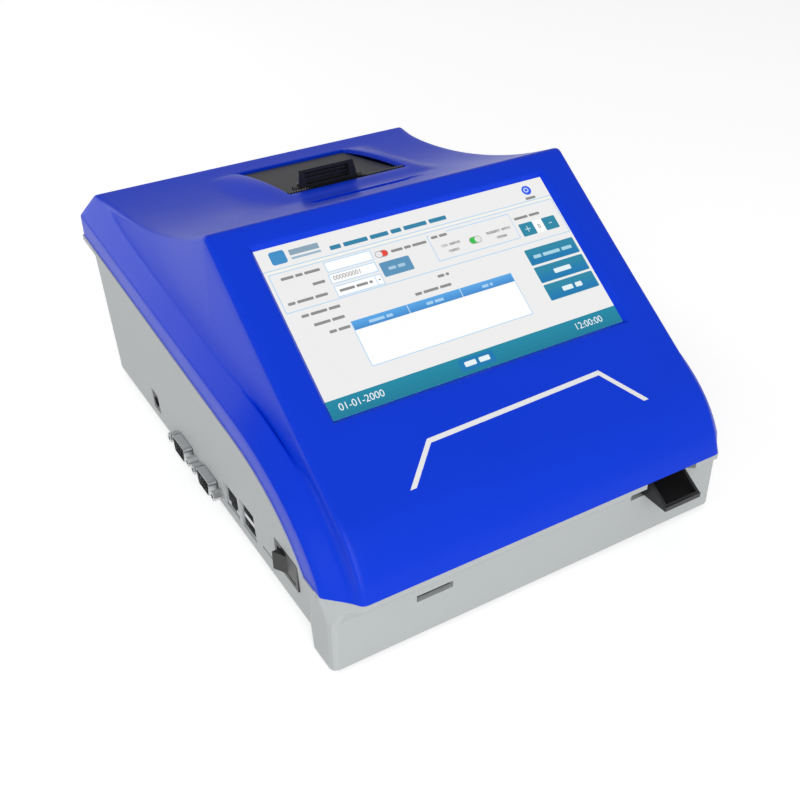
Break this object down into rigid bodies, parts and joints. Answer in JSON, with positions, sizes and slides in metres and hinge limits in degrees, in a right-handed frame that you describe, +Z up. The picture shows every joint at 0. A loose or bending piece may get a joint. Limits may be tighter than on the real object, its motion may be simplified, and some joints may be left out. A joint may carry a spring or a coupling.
{
  "type": "rapid test reader",
  "caption": "Benchtop reader for test cassettes: sloping touch display, roll printer under a lid, sliding tray, card slot, ports and rocker switch at the left.",
  "frame": {"origin": "on the table under the middle of the footprint, tray included", "axes": "+X to the user's right, +Y to the back, +Z up"},
  "size_m": [0.2168, 0.2994, 0.1496],
  "materials": {
    "base_grey": "fine matt",
    "cover_blue": "satin",
    "door_grey": "matt",
    "black_plastic": "satin",
    "rubber": "matt",
    "steel": "bright",
    "tear_steel": "blackened",
    "glass": "clear",
    "board_green": "laminate",
    "chip_black": "matt",
    "aluminium": "bare",
    "ceramic": "glazed",
    "ribbon": "flexible",
    "paper": "paper"
  },
  "bodies": {
    "case": {"base_housing": "base_grey", "rubber_feet": "rubber", "top_cover": "cover_blue", "case_screws": "steel", "touch_panel": "glass", "lcd_module": "steel", "display_bracket": "steel", "display_screws": "steel", "display_controller": "board_green", "display_ribbon": "ribbon", "main_board": "board_green", "board_screws": "steel", "processor_chip": "chip_black", "heatsink": "aluminium", "board_capacitors": "chip_black", "coin_cell_holder": "black_plastic", "coin_cell": "steel", "ribbon_header": "black_plastic", "dc_jack": "black_plastic", "lan_jack": "steel", "usb_jack": "steel", "memory_card_socket": "black_plastic", "serial_shells": "steel", "serial_inserts": "black_plastic", "serial_jackscrews": "steel", "switch_body": "black_plastic", "id_card_reader": "black_plastic", "tray_guide": "black_plastic", "frame_screws": "steel", "motor_screws": "steel", "tray_motor": "steel", "home_sensor": "black_plastic", "optical_head": "black_plastic", "head_screws": "steel", "objective_lens": "glass", "detector_board": "board_green", "lamp_board": "board_green", "speaker": "steel", "printer_bucket": "black_plastic", "door_hinge_pin": "steel", "printer_motor": "steel", "head_plate": "aluminium", "print_head": "ceramic", "head_springs": "steel", "tear_bar": "tear_steel"},
    "rocker": {"switch_rocker": "black_plastic"},
    "tray": {"test_tray": "black_plastic", "tray_rack": "black_plastic", "tray_clip": "steel"},
    "pinion": {"tray_pinion": "steel"},
    "door": {"printer_door": "door_grey", "lever_pin": "steel", "platen_bushes": "black_plastic"},
    "lever": {"printer_lever": "black_plastic"},
    "platen": {"platen_shaft": "steel", "platen_rubber": "rubber", "platen_gear": "black_plastic"},
    "idler": {"idler_gear": "black_plastic"},
    "motor_pinion": {"motor_gear": "black_plastic"},
    "roll": {"paper_roll": "paper"}
  },
  "joints": [
    {"name": "tray_slide", "type": "slide", "parent": "case", "child": "tray", "axis": [0, -1, 0], "range_m": [-0.012, 0.048]},
    {"name": "pinion_spin", "type": "hinge", "parent": "case", "child": "pinion", "pos_m": [0.04938, -0.0963, 0.031], "axis": [0, 0, -1], "range_deg": [-112, 435]},
    {"name": "door_hinge", "type": "hinge", "parent": "case", "child": "door", "pos_m": [0.013, 0.12856, 0.10708], "axis": [-1, 0, 0], "range_deg": [0, 90]},
    {"name": "lever_hinge", "type": "hinge", "parent": "door", "child": "lever", "pos_m": [0.0042, 0.06775, 0.12397], "axis": [1, 0, 0], "range_deg": [0, 30], "stiffness_Nm_per_rad": 0.02, "springref_deg": -17.19},
    {"name": "platen_spin", "type": "hinge", "parent": "door", "child": "platen", "pos_m": [0.013, 0.06803, 0.11373], "axis": [1, 0, 0], "continuous": true},
    {"name": "idler_spin", "type": "hinge", "parent": "case", "child": "idler", "pos_m": [0.0463, 0.0752, 0.1035], "axis": [1, 0, 0], "continuous": true},
    {"name": "motor_spin", "type": "hinge", "parent": "case", "child": "motor_pinion", "pos_m": [0.0463, 0.06778, 0.09607], "axis": [1, 0, 0], "continuous": true},
    {"name": "roll_spin", "type": "hinge", "parent": "case", "child": "roll", "pos_m": [0.013, 0.1067, 0.0848], "axis": [1, 0, 0], "continuous": true},
    {"name": "rocker_tilt", "type": "hinge", "parent": "case", "child": "rocker", "pos_m": [-0.101, -0.0867, 0.0247], "axis": [0, 0, -1], "range_deg": [0, 30]}
  ],
  "couplings": [
    {"joint": "pinion_spin", "follows": "tray_slide", "rad_per_m": 156.25},
    {"joint": "idler_spin", "follows": "platen_spin", "ratio": -0.66667},
    {"joint": "motor_spin", "follows": "platen_spin", "ratio": 1.6667}
  ]
}
